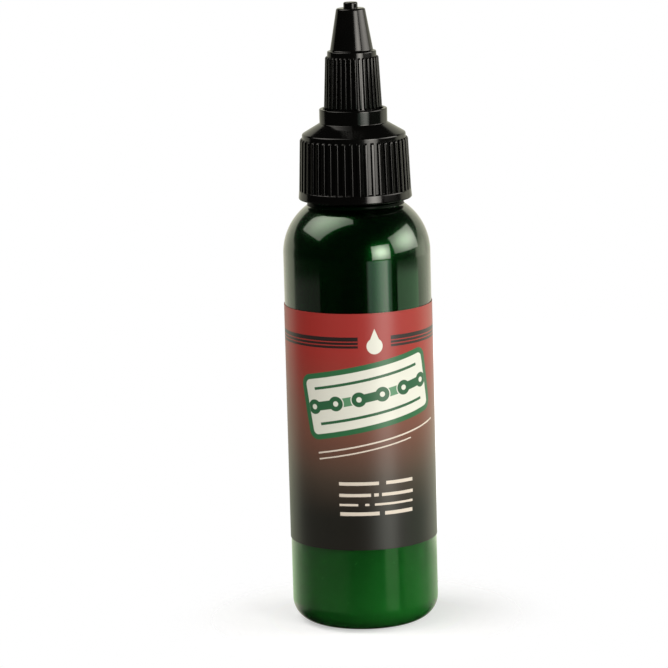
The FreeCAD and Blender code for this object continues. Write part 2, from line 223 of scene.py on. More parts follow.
@named
class StudioSettings(bpy.types.PropertyGroup):
    """Camera and light of the stage"""
    camera_distance: length("Camera's distance in front of the axis", 780.0)
    camera_height: length("Camera's height above the floor", 205.5)
    camera_offset: length("How far the camera stands to the left of the axis", 5.4)
    camera_pitch: angle("How far the camera looks down", 10.3458)
    camera_roll: angle("How far the picture is turned", 1.55)
    lens: level("Focal length on a 36 mm sensor, in millimetres", 196.95)
    key_light: level("Brightness of the window-like panel in front on the right", 12.35)
    side_light: level("Brightness of the wide panel on the right", 6.3)
    top_light: level("Brightness of the softbox overhead on the left", 3.9)
    fill_light: level("Brightness of the wide fill in front, which shows in no reflection", 1.08)
    backdrop: level("Brightness of the surroundings behind", 0.70)
    backdrop_tint: colour("Colour of the surroundings behind", 1.0, 0.99, 0.80)
    table_tint: colour("Colour of the table at the foot", 0.74, 1.0, 0.62)
    side_tint: colour("Colour of the table on the right", 0.53, 1.0, 0.55)
    strip_tint: colour("Colour of the window's strip on the table", 0.67, 1.0, 0.80)
    table_front: level("Brightness of the table's lit patch in front on the right", 1.5)
    table_right: level("Brightness of the table on the right", 1.4)
    table_left: level("Brightness of the table on the left", 0.21)
    table_near: level("Brightness of the table close by on the left", 0.18)
    glint: level("Brightness that the bright line in the window's strip has on top", 3.0)
    room: level("Brightness of the dark room in front", 0.008)
    warmth: colour("Colour of the light", 1.0, 0.96, 0.89)


class LubeBottleSettings(bpy.types.PropertyGroup):
    """All settings of the lube bottle"""
    bottle: PointerProperty(type=BottleSettings)
    label: PointerProperty(type=LabelSettings)
    closure: PointerProperty(type=ClosureSettings)
    tip: PointerProperty(type=TipSettings)
    studio: PointerProperty(type=StudioSettings)


# Outlines and meshes

ROUNDING_STEPS = 6
SUPPORT = 0.1 * MM
SHARP_EDGE = math.radians(45)
# Roundings of moulded edges, from the finest up
LAND_ROUND, FINE_ROUND, SOFT_ROUND, FOOT_ROUND = 0.08 * MM, 0.12 * MM, 0.2 * MM, 0.3 * MM
# Segments of a turned piece
WIDE_SEGMENTS, SLIM_SEGMENTS, FLOOR_SEGMENTS, PIN_SEGMENTS = 176, 128, 64, 48
# Share of its foot's width that a rib's crest has, and share of its height that its rounding may take
RIB_LEAN, RIB_ROUND = 0.92, 0.6


def arc(centre, radius, start, end, steps):
    """Points of an arc, angles in radians from the radius direction towards +Z."""
    turns = [start + (end - start) * step / steps for step in range(steps + 1)]
    return [(centre[0] + radius * math.cos(turn), centre[1] + radius * math.sin(turn)) for turn in turns]


def pairs(points, closed):
    """Each entry of a list with the next one."""
    return zip(points, points[1:] + points[:1] if closed else points[1:])


def rounded(corners, closed=False):
    """Points of an outline of (radius, height) corners; a third entry rounds the corner."""
    points = []
    count = len(corners)
    for index, corner in enumerate(corners):
        here = Vector(corner[:2])
        if len(corner) == 2 or not closed and index in (0, count - 1):
            points.append(tuple(here))
            continue
        before = (Vector(corners[index - 1][:2]) - here).normalized()
        after = (Vector(corners[(index + 1) % count][:2]) - here).normalized()
        half = before.angle(after) / 2
        centre = here + (before + after).normalized() * corner[2] / math.sin(half)
        first = here + before * corner[2] / math.tan(half) - centre
        last = here + after * corner[2] / math.tan(half) - centre
        start = math.atan2(first.y, first.x)
        sweep = (math.atan2(last.y, last.x) - start + math.pi) % FULL_TURN - math.pi
        points += arc(centre, corner[2], start, start + sweep, ROUNDING_STEPS)
    return points


def supported(points, closed=False):
    """Adds a point beside each end of a long straight run, so that its shading stays flat."""
    result = []
    for point, following in pairs(points, closed):
        result.append(point)
        here, there = Vector(point), Vector(following)
        run = (there - here).length
        if run > 5 * SUPPORT:
            step = (there - here) * SUPPORT / run
            result += [tuple(here + step), tuple(there - step)]
    return result if closed else [*result, points[-1]]


def with_rows(points, radius, spacing, closed=False):
    """Adds rows close together where an outline runs along a cylinder, for the thread that rises there."""
    result = []
    for here, there in pairs(points, closed):
        result.append(here)
        if max(abs(here[0] - radius), abs(there[0] - radius)) < TINY:
            rise = there[1] - here[1]
            rows = int(abs(rise) / spacing)
            result += [(here[0], here[1] + rise * row / rows) for row in range(1, rows)]
    return result if closed else [*result, points[-1]]


def turned(outline, segments, closed=False):
    """Vertices and faces of an outline turned round the axis; points on the axis become poles."""
    vertices, rings, faces = [], [], []
    for radius, height in outline:
        if radius < TINY:
            rings.append([len(vertices)] * segments)
            vertices.append((0.0, 0.0, height))
            continue
        rings.append(list(range(len(vertices), len(vertices) + segments)))
        for step in range(segments):
            turn = FULL_TURN * step / segments
            vertices.append((radius * math.cos(turn), radius * math.sin(turn), height))
    for lower, upper in pairs(rings, closed):
        for step in range(segments):
            following = (step + 1) % segments
            loop = [lower[step], lower[following], upper[following], upper[step]]
            face = [vertex for place, vertex in enumerate(loop) if vertex != loop[place - 1]]
            if len(face) > 2:
                faces.append(face)
    return vertices, faces


def rib_form(stations, root, width, edge):
    """Vertices and faces of one rib at angle zero.

    A station is (height, crest radius). The rib's foot lies at the root radius inside its carrier, its
    flanks lean in a little and its long edges are rounded.
    """
    vertices, faces = [], []
    for height, crest in stations:
        rounding = min(edge, max(crest - root, 0) * RIB_ROUND)
        half = width / 2
        side = arc((half * RIB_LEAN - rounding, crest - rounding), rounding, 0, QUARTER_TURN, steps=4)
        right = [(half, root), *side]
        section = right + [(-across, out) for across, out in reversed(right)]
        vertices += [(out, across, height) for across, out in section]
    size = len(vertices) // len(stations)
    for station in range(len(stations) - 1):
        base = station * size
        for place in range(size):
            following = (place + 1) % size
            faces.append([base + place, base + following, base + size + following, base + size + place])
    faces.append(list(range(size)))
    faces.append(list(range(len(vertices) - size, len(vertices))))
    return vertices, faces


def rib_end(height, depth, side=1):
    """Heights and rises of a rib's round upper end, or with side -1 its lower end, from full rise to none."""
    turns = [QUARTER_TURN * step / ROUNDING_STEPS for step in range(ROUNDING_STEPS + 1)]
    return [(height - side * depth * (1 - math.sin(turn)), depth * math.cos(turn)) for turn in turns]


def merged(*forms):
    vertices, faces = [], []
    for form_vertices, form_faces in forms:
        shift = len(vertices)
        vertices += form_vertices
        faces += [[vertex + shift for vertex in face] for face in form_faces]
    return vertices, faces


def mesh_piece(name, form, material=None):
    """A smooth-shaded object of a closed form, with its faces outwards and its sharp edges kept."""
    mesh = bpy.data.meshes.new(name)
    mesh.from_pydata(form[0], [], form[1])
    builder = bmesh.new()
    builder.from_mesh(mesh)
    bmesh.ops.recalc_face_normals(builder, faces=builder.faces)
    builder.to_mesh(mesh)
    builder.free()
    mesh.shade_smooth()
    mesh.set_sharp_from_angle(angle=SHARP_EDGE)
    if material is not None:
        mesh.materials.append(material)
    piece = bpy.data.objects.new(name, mesh)
    bpy.context.scene.collection.objects.link(piece)
    return piece


# Node helpers for geometry and materials


def sign(operation, swapped=False):
    """A method for one sign of arithmetic between values and numbers."""
    def method(self, other):
        return calc(operation, other, self) if swapped else calc(operation, self, other)
    return method


class Value:
    """A number that a node tree works out; each sign adds a Math node, and | takes the larger."""

    __add__, __sub__, __mul__, __truediv__ = map(sign, ("ADD", "SUBTRACT", "MULTIPLY", "DIVIDE"))
    __rsub__, __rtruediv__ = sign("SUBTRACT", swapped=True), sign("DIVIDE", swapped=True)
    __or__ = sign("MAXIMUM")

    def __init__(self, socket):
        self.socket = socket

    def __neg__(self):
        return self * -1.0

    def __abs__(self):
        return calc("ABSOLUTE", self)

    def ramp(self, low, high):
        """Zero at one value and one at another, with soft ends."""
        made = node(self.socket.id_data, "ShaderNodeMapRange", interpolation_type="SMOOTHSTEP")
        for socket, entry in zip(made.inputs, (self, low, high, 0.0, 1.0)):
            feed(socket, entry)
        return Value(made.outputs[0])

    def within(self, low, high):
        """One between two values, and zero outside."""
        return calc("COMPARE", self, (low + high) / 2, (high - low) / 2)


def node(tree, kind, **attributes):
    made = tree.nodes.new(kind)
    for name, value in attributes.items():
        setattr(made, name, value)
    return made


def feed(socket, value):
    """Links a socket to an output, or sets its value."""
    if isinstance(value, Value):
        value = value.socket
    if isinstance(value, bpy.types.NodeSocket):
        socket.id_data.links.new(value, socket)
    else:
        socket.default_value = value


def fill(target, **values):
    """Feeds a node's inputs by name, with _ for a blank."""
    for name, value in values.items():
        feed(target.inputs[name.replace("_", " ")], value)
    return target


def calc(operation, *values, clamp=False):
    tree = next(value.socket.id_data for value in values if isinstance(value, Value))
    made = node(tree, "ShaderNodeMath", operation=operation, use_clamp=clamp)
    for socket, value in zip(made.inputs, values):
        feed(socket, value)
    return Value(made.outputs[0])


def reach(across, up):
    """The length of two legs at a right angle."""
    return calc("SQRT", across * across + up * up)


def any_of(masks):
    return reduce(or_, masks)


def split(vector):
    """The three numbers of a vector output."""
    parts = node(vector.id_data, "ShaderNodeSeparateXYZ")
    feed(parts.inputs[0], vector)
    return [Value(part) for part in parts.outputs]


def blended(share, first, second, way="MIX"):
    """A colour between two, by a share."""
    made = node(share.socket.id_data, "ShaderNodeMix", data_type="RGBA", blend_type=way)
    feed(made.inputs[0], share)
    for socket, value in ((made.inputs[6], first), (made.inputs[7], second)):
        feed(socket, value if isinstance(value, bpy.types.NodeSocket) else (*value, 1.0))
    return made.outputs[2]


def noise(place, scale, detail, roughness):
    made = node(place.id_data, "ShaderNodeTexNoise")
    return Value(fill(made, Vector=place, Scale=scale, Detail=detail, Roughness=roughness).outputs["Fac"])


def new_tree(name, kind, inputs, outputs):
    """A node group with named sockets of the given kinds, its inputs by name and its outputs."""
    tree = bpy.data.node_groups.new(name, kind)
    for direction, sockets in (("INPUT", inputs), ("OUTPUT", outputs)):
        for label, socket_kind in sockets.items():
            tree.interface.new_socket(label, in_out=direction, socket_type="NodeSocket" + socket_kind)
    given = node(tree, "NodeGroupInput").outputs
    return tree, {label: Value(given[label]) for label in inputs}, node(tree, "NodeGroupOutput").inputs


def finished(geometry, material, target):
    """Ends a geometry tree: instances made real, then the material set."""
    real = fill(node(geometry.id_data, "GeometryNodeRealizeInstances"), Geometry=geometry)
    dressed = node(geometry.id_data, "GeometryNodeSetMaterial")
    feed(target, fill(dressed, Geometry=real.outputs[0], Material=material).outputs[0])


def rib_ring_tree():
    """Geometry nodes: copies of a rib in a ring round the axis, joined to the piece that carries them."""
    tree, given, result = new_tree(
        "Rib ring", "GeometryNodeTree",
        {"Carrier": "Geometry", "Rib": "Object", "Count": "Int", "Finish": "Material"},
        {"Geometry": "Geometry"})
    points = fill(node(tree, "GeometryNodePoints"), Count=given["Count"])
    index = Value(node(tree, "GeometryNodeInputIndex").outputs[0])
    turn = fill(node(tree, "ShaderNodeCombineXYZ"), Z=index * (FULL_TURN / given["Count"]))
    rib = fill(node(tree, "GeometryNodeObjectInfo"), Object=given["Rib"])
    ring = fill(node(tree, "GeometryNodeInstanceOnPoints"), Points=points.outputs[0],
                Instance=rib.outputs["Geometry"], Rotation=turn.outputs[0])
    joined = node(tree, "GeometryNodeJoinGeometry")
    for part in (ring.outputs[0], given["Carrier"]):
        feed(joined.inputs[0], part)
    finished(joined.outputs[0], given["Finish"], result[0])
    return tree


# A thread's half widths at its foot and at its crest, and the run-out at its ends, in turns
THREAD_FOOT, THREAD_CREST, RUN_OUT = 0.30, 0.10, 0.12
ON_CYLINDER = 0.02 * MM


def thread_tree():
    """Geometry nodes: raises a screw thread on the points that lie on a cylinder of the given radius."""
    tree, given, result = new_tree(
        "Screw thread", "GeometryNodeTree",
        {"Carrier": "Geometry", "Radius": "Float", "Start": "Float", "Lead": "Float", "Turns": "Float",
         "Depth": "Float", "Finish": "Material"},
        {"Geometry": "Geometry"})
    across, along, up = split(node(tree, "GeometryNodeInputPosition").outputs[0])
    radius = reach(across, along)
    on_face = calc("COMPARE", radius, given["Radius"], ON_CYLINDER)
    share = calc("ARCTAN2", along, across) / FULL_TURN
    turns = (up - given["Start"]) / given["Lead"] - share
    nearest = calc("ROUND", turns)
    crest = abs(turns - nearest).ramp(THREAD_FOOT, THREAD_CREST)
    travelled = nearest + share
    ends = calc("MINIMUM", travelled, given["Turns"] - travelled)
    height = crest * ends.ramp(0.0, RUN_OUT) * given["Depth"]
    push = height * on_face / (radius | TINY)
    move = fill(node(tree, "ShaderNodeCombineXYZ"), X=across * push, Y=along * push)
    raised = node(tree, "GeometryNodeSetPosition")
    fill(raised, Geometry=given["Carrier"], Offset=move.outputs[0])
    finished(raised.outputs[0], given["Finish"], result[0])
    return tree


def grown(piece, tree, **values):
    """Runs a geometry tree on a piece and keeps the result as its plain mesh."""
    modifier = piece.modifiers.new(tree.name, "NODES")
    modifier.node_group = tree
    for item in tree.interface.items_tree:
        if item.in_out == "INPUT" and item.name in values:
            modifier[item.identifier] = values[item.name]
    evaluated = piece.evaluated_get(bpy.context.evaluated_depsgraph_get())
    mesh = bpy.data.meshes.new_from_object(evaluated)
    piece.modifiers.remove(modifier)
    old = piece.data
    piece.data = mesh
    bpy.data.meshes.remove(old)


def ribbed(piece, rib, count, material):
    """Adds a ring of ribs to a piece."""
    pattern = mesh_piece("rib_pattern", rib)
    grown(piece, rib_ring_tree(), Rib=pattern, Count=count, Finish=material)
    mesh = pattern.data
    bpy.data.objects.remove(pattern)
    bpy.data.meshes.remove(mesh)


def settled(piece, body, node_name):
    """Ties a finished piece to the frame."""
    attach(piece, body)
    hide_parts(node_name)


# Materials

MARK_DEPTH = 0.02 * MM


def object_place(tree):
    return node(tree, "ShaderNodeTexCoord").outputs["Object"]


def scaled(tone, factor):
    return [min(1.0, part * factor) for part in tone]


def surface_marks():
    """Shader group: the fine unevenness and handling marks of a moulded or printed surface."""
    name = "Surface marks"
    if name in bpy.data.node_groups:
        return bpy.data.node_groups[name]
    tree, given, result = new_tree(
        name, "ShaderNodeTree", {"Roughness": "Float", "Smudges": "Float", "Grain": "Float"},
        {"Roughness": "Float", "Height": "Float", "Mottle": "Float"})
    place = object_place(tree)
    mottle = noise(place, scale=120.0, detail=4.0, roughness=0.6)
    ripple = noise(place, scale=55.0, detail=1.0, roughness=0.3)
    grain = noise(place, scale=given["Grain"], detail=2.0, roughness=0.5)
    smudge = mottle.ramp(0.42, 0.72)
    feed(result["Roughness"], calc("MULTIPLY_ADD", smudge, given["Smudges"], given["Roughness"], clamp=True))
    feed(result["Height"], ripple * 2.0 + grain)
    feed(result["Mottle"], mottle)
    return tree


def new_material(name):
    """A material with its node tree and its principled shader."""
    material = bpy.data.materials.new(name)
    material.use_nodes = True
    return material, material.node_tree, material.node_tree.nodes["Principled BSDF"]


def marked(shader, roughness, smudges, grain, strength):
    """Drives a shader's roughness and bump from the surface marks, and gives their mottle."""
    marks = node(shader.id_data, "ShaderNodeGroup", node_tree=surface_marks())
    fill(marks, Roughness=roughness, Smudges=smudges, Grain=grain)
    bump = node(shader.id_data, "ShaderNodeBump")
    fill(bump, Strength=strength, Distance=MARK_DEPTH, Height=marks.outputs["Height"])
    fill(shader, Roughness=marks.outputs["Roughness"], Normal=bump.outputs[0])
    return Value(marks.outputs["Mottle"])


def black_plastic(black):
    """Moulded black plastic: satin gloss, a fine grain and faint handling marks."""
    name = "Moulded black"
    if name in bpy.data.materials:
        return bpy.data.materials[name]
    material, _, shader = new_material(name)
    mottle = marked(shader, roughness=0.115, smudges=0.05, grain=2600.0, strength=0.015)
    fill(shader, Base_Color=blended(mottle, black, scaled(black, 1.7)), Specular_IOR_Level=0.29)
    return material


def green_plastic(s):
    """See-through green plastic: the green is the plastic's own, and its darkening upward to nearly black
    above the label is painted shade for the bottle's dark top.
    """
    material, tree, shader = new_material("Clear green")
    # painted shade: the tint runs from the lower green up to the nearly black upper green across the label
    high = split(object_place(tree))[2].ramp(LABEL_LOW + 8 * MM, LABEL_LOW + 30 * MM)
    tint = blended(high, s.lower_green, s.upper_green)
    mottle = marked(shader, roughness=0.20, smudges=0.05, grain=900.0, strength=0.05)
    fill(shader, Base_Color=blended(mottle, tint, (0.80, 0.86, 0.80), "MULTIPLY"), IOR=1.55,
         Transmission_Weight=1.0, Specular_Tint=(*s.green_sheen, 1.0),
         Coat_Weight=1.0, Coat_Roughness=0.03, Coat_IOR=1.52)
    return material


def bead_painted_shade(s):
    """The same plastic at the bead's upright rim, darkened nearly to black and with hardly any gloss: painted
    shade that keeps the gap under the closure's flange dark.
    """
    material, _, shader = new_material("Dark green bead")
    mottle = marked(shader, roughness=0.20, smudges=0.06, grain=900.0, strength=0.05)
    # both tones are the upper wall's green darkened further, as painted shade
    deepest_shade, second_tone = (scaled(s.upper_green, factor) for factor in (0.03, 0.12))
    fill(shader, Base_Color=blended(mottle, deepest_shade, second_tone), Specular_IOR_Level=0.02)
    return material


def milky_lube(s):
    """The lube in the bottle: a milky green that is paler towards the foot, with clouds and specks."""
    material, tree, shader = new_material("Milky lube")
    place = object_place(tree)
    cloud = noise(place, scale=150.0, detail=4.0, roughness=0.55).ramp(0.75, 0.3)
    speck = noise(place, scale=1700.0, detail=1.0, roughness=0.4).ramp(0.74, 0.79)
    foot_tone, second_tone, pale = (scaled(s.lube, factor) for factor in (1.25, 0.87, 1.5))
    body = blended(split(place)[2].ramp(1.0 * MM, LABEL_LOW), foot_tone, second_tone)
    body = blended(cloud, body, (0.88, 0.88, 0.88), "MULTIPLY")
    fill(shader, Base_Color=blended(speck, body, pale), Roughness=cloud * -0.1 + 0.55)
    return material


# The print, in millimetres on the flat film
# Ground: (start, end, colour) of each blend above the label's lower edge
GROUND = ((6.0, 20.0, "umber"), (14.0, 29.0, "rust"), (25.0, 46.0, "red"))
# Stripes round the film: (lower edge, upper edge), and the gap for the drop
STRIPES = ((64.26, 65.14), (63.52, 64.02), (62.74, 63.26))
STRIPE_GAP = (-0.4, 6.85)
# Drop: middle and radius of its disc, and the slope, height and start of the point above it
DROP_ACROSS, DROP_UP, DROP_RADIUS = 3.2, 63.1, 1.75
POINT_SLOPE, POINT_HEIGHT, POINT_START = 0.42, 2.15 * DROP_RADIUS, 0.65
# Chain sign: pale line round a front link, and the rules above and below the chain
LINK_GAP = 0.22
SIGN_RULE, SIGN_REACH = (3.55, 4.15), (-12.2, 12.2)
# Slim rules along the panel's slope: (lower edge, upper edge), (left, right)
SLIM_RULES = (((-10.15, -9.80), (-14.2, 15.8)), ((-11.45, -11.15), (-14.2, 7.4)))
# Rows of plain bars: (lower edge, upper edge), [(left, right), ...]
BAR_ROWS = (
    ((32.85, 33.60), [(-5.3, 3.4), (5.0, 11.6)]),
    ((30.35, 31.05), [(-5.3, 1.6), (2.3, 3.3), (4.0, 11.6)]),
    ((28.35, 28.85), [(-5.3, -1.2), (0.3, 1.2), (2.4, 11.5)]),
    ((26.20, 27.00), [(-5.2, 3.4), (4.6, 11.4)]),
)
EDGE_SHARPNESS = 12.0


def inside(distance):
    """One where a distance to an edge is negative, with a soft line of 0.08 mm."""
    return calc("MULTIPLY_ADD", distance, -EDGE_SHARPNESS, 0.5, clamp=True)


def box_distance(across, up, half_width, half_height, corner):
    """Distance to the edge of a box with round corners."""
    over, above = abs(across) - (half_width - corner), abs(up) - (half_height - corner)
    return reach(over | 0.0, above | 0.0) + calc("MINIMUM", over | above, 0.0) - corner


def printed_film(s):
    """The label's film: a ground from red to soot, stripes, a tilted panel with a chain sign, and bars."""
    material, tree, shader = new_material("Printed film")
    x, y, z = split(object_place(tree))
    bottle = bpy.context.scene.lube_bottle.bottle
    across = calc("ARCTAN2", x, -y) * ((bottle.body_radius + s.glue + s.film) / MM)
    up = z * (1 / MM)

    paint = s.soot
    for start, end, tone in GROUND:
        share = up.ramp(LABEL_LOW / MM + start, LABEL_LOW / MM + end)
        paint = blended(share, paint, getattr(s, tone))
    stripes = any_of(up.within(*band) for band in STRIPES) * (1.0 - across.within(*STRIPE_GAP))
    paint = blended(stripes, paint, s.stripe)

    # drop: a disc under a point
    side, rise = abs(across - DROP_ACROSS), up - DROP_UP
    disc = inside(reach(side, rise) - DROP_RADIUS)
    point = inside(rise * POINT_SLOPE + side - POINT_SLOPE * POINT_HEIGHT) * inside(-(rise - POINT_START))
    paint = blended(disc | point, paint, s.cream)

    # tilted panel
    shift, lift = across - s.panel_right / MM, up - s.panel_up / MM
    cosine, sine = math.cos(s.panel_tilt), math.sin(s.panel_tilt)
    over, above = shift * cosine + lift * sine, lift * cosine - shift * sine
    panel = box_distance(over, above, s.panel_width / 2 / MM, s.panel_height / 2 / MM,
                         s.panel_corner / MM)
    field = inside(panel + s.panel_rim / MM)

    # chain sign: front and rear links by turns, which run on under the rim, between two rules
    pitch, radius = s.link_pitch / MM, s.link_radius / MM
    waist, hole = s.link_waist / MM, s.link_hole / MM
    past_front = calc("PINGPONG", over, pitch) - pitch / 2

    def link(past_pin, margin):
        """A link's mask; past_pin is the distance beyond the nearer pin along the chain."""
        eye = inside(reach(past_pin, above) - (radius + margin))
        return eye | inside(past_pin) * inside(abs(above) - (waist + margin))

    rear = link(-past_front, 0.0) * (1.0 - link(past_front, LINK_GAP))
    sign_rules = abs(above).within(*SIGN_RULE) * over.within(*SIGN_REACH)
    pins = inside(reach(past_front, above) - hole)
    slim_rules = any_of(above.within(*edges) * over.within(*ends) for edges, ends in SLIM_RULES)
    bars = any_of(up.within(*edges) * any_of(across.within(*ends) for ends in row) for edges, row in BAR_ROWS)
    for mask, tone in (
            (inside(panel), s.border_green),
            (field, s.cream),
            (field * rear, s.back_link_green),
            (field * link(past_front, 0.0) | sign_rules, s.link_green),
            (field * pins, s.cream),
            (slim_rules | bars, s.fine_print)):
        paint = blended(mask, paint, tone)
    mottle = marked(shader, roughness=0.34, smudges=0.02, grain=1500.0, strength=0.04)
    fill(shader, Base_Color=blended(mottle, paint, (0.96, 0.96, 0.96), "MULTIPLY"), IOR=1.7)
    return material


# Operators

# Distances of the rows on which the neck's and the skirt's threads rise
NECK_ROWS, SKIRT_ROWS = 0.16 * MM, 0.215 * MM
MENISCUS_WIDTH, MENISCUS_STEPS = 2.2 * MM, 8
LABEL_COLUMNS, LABEL_ROWS = 240, 16
SKIRT_THREAD_START, SKIRT_THREAD_TURNS = 3.4 * MM, 2.0
# How deep the feet of the ribs sit in the skirt and in the sleeve, and the radius where a web starts
SKIRT_RIB_SINK, TIP_RIB_SINK, WEB_START = 0.35 * MM, 0.3 * MM, 0.5 * MM


def base_form(s):
    """Radius and end angle of the domed base's arc, and the middle of the base corner's arc."""
    radius = (s.foot_radius ** 2 + s.push_up ** 2) / (2 * s.push_up)
    end = QUARTER_TURN - math.asin(s.foot_radius / radius)
    return radius, end, (s.body_radius - s.base_corner, s.base_corner)


class LUBE_OT_bottle(bpy.types.Operator):
    """Builds the bottle: domed base, straight wall, dome, bead and threaded neck"""
    bl_idname = "lube.bottle"
    bl_label = "Bottle"

    def execute(self, context):
        s = context.scene.lube_bottle.bottle
        base_radius, foot_turn, corner = base_form(s)
        dome = (s.body_radius - s.dome_radius, s.wall_top)
        outer_end = math.acos((s.bead_radius - dome[0]) / s.dome_radius)
        bead_top = s.wall_top + s.dome_radius * math.sin(outer_end) + s.bead_height
        outside = [
            *arc((0, s.push_up - base_radius), base_radius, QUARTER_TURN, foot_turn, steps=16),
            *arc(corner, s.base_corner, -QUARTER_TURN, 0, steps=20),
            *arc(dome, s.dome_radius, 0, outer_end, steps=32),
        ]
        neck = rounded([
            outside[-2],
            (*outside[-1], s.bead_fillet),
            (s.bead_radius, bead_top, s.bead_rounding),
            (s.neck_radius, bead_top, FOOT_ROUND),
            (s.neck_radius, BOTTLE_TOP, s.lip_rounding),
            (s.neck_bore, BOTTLE_TOP, s.lip_rounding),
            (s.neck_bore, s.wall_top),
        ])[1:-1]
        inner_dome = s.dome_radius - s.wall
        inner_end = math.acos((s.neck_bore - dome[0]) / inner_dome)
        inner = [
            *arc(dome, inner_dome, inner_end, 0, steps=24),
            *arc(corner, s.base_corner - s.wall, 0, -QUARTER_TURN, steps=16),
            *arc((0, s.push_up + s.wall - base_radius), base_radius, foot_turn, QUARTER_TURN, steps=16),
        ]
        outline = with_rows(supported(outside[:-1] + neck + inner), s.neck_radius, NECK_ROWS)
        green = green_plastic(s)
        piece = mesh_piece("bottle_shell", turned(outline, WIDE_SEGMENTS), green)
        grown(piece, thread_tree(), Radius=s.neck_radius, Start=bead_top + s.thread_start,
              Lead=s.thread_lead, Turns=s.thread_turns, Depth=s.thread_depth, Finish=green)
        # the bead's upright outer faces take the painted shade of the flange that overhangs them
        piece.data.materials.append(bead_painted_shade(s))
        for face in piece.data.polygons:
            on_bead = bead_top - s.bead_height < face.center.z < bead_top + FOOT_ROUND
            upright = face.normal.z < 0.5
            if on_bead and upright and face.center.xy.length > s.neck_radius:
                face.material_index = 1
        settled(piece, "bottle_body", "bottle")
        return {"FINISHED"}


class LUBE_OT_contents(bpy.types.Operator):
    """Builds the lube inside the bottle, wetting the wall"""
    bl_idname = "lube.contents"
    bl_label = "Lube"

    def execute(self, context):
        s = context.scene.lube_bottle.bottle
        base_radius, foot_turn, corner = base_form(s)
        floor = s.push_up + s.wall - s.wetting
        side = s.body_radius - s.wall + s.wetting
        shares = [step / MENISCUS_STEPS for step in range(MENISCUS_STEPS + 1)]
        outline = supported([
            *arc((0, floor - base_radius), base_radius, QUARTER_TURN, foot_turn, steps=14),
            *arc(corner, s.base_corner - s.wall + s.wetting, -QUARTER_TURN, 0, steps=14),
            *((side - MENISCUS_WIDTH * share, FILL_LEVEL - s.meniscus * (1 - (1 - share) ** 3))
              for share in shares),
            (0.0, FILL_LEVEL - s.meniscus),
        ])
        piece = mesh_piece("lube_contents", turned(outline, SLIM_SEGMENTS), milky_lube(s))
        settled(piece, "bottle_body", "lube_fill")
        return {"FINISHED"}


class LUBE_OT_label(bpy.types.Operator):
    """Builds the printed film round the bottle, with its seam at the back"""
    bl_idname = "lube.label"
    bl_label = "Label"

    def execute(self, context):
        bottle = context.scene.lube_bottle.bottle
        s = context.scene.lube_bottle.label
        inner = bottle.body_radius + s.glue
        half = math.pi - s.seam_gap / inner / 2
        vertices, faces = [], []
        for radius in (inner + s.film, inner):
            for row in range(LABEL_ROWS + 1):
                height = LABEL_LOW + (LABEL_HIGH - LABEL_LOW) * row / LABEL_ROWS
                for column in range(LABEL_COLUMNS + 1):
                    turn = half * (2 * column / LABEL_COLUMNS - 1)
                    vertices.append((radius * math.sin(turn), -radius * math.cos(turn), height))
        width = LABEL_COLUMNS + 1
        back = width * (LABEL_ROWS + 1)
        for row in range(LABEL_ROWS):
            for column in range(LABEL_COLUMNS):
                start = row * width + column
                loop = [start, start + 1, start + width + 1, start + width]
                faces.append(loop)
                faces.append([vertex + back for vertex in reversed(loop)])
        rim = [*range(width), *range(2 * width - 1, back, width),
               *range(back - 2, back - width - 1, -1), *range(back - 2 * width, 0, -width)]
        faces += [[here, here + back, there + back, there] for here, there in pairs(rim, closed=True)]
        piece = mesh_piece("label_film", (vertices, faces), printed_film(s))
        settled(piece, "bottle_body", "label")
        return {"FINISHED"}


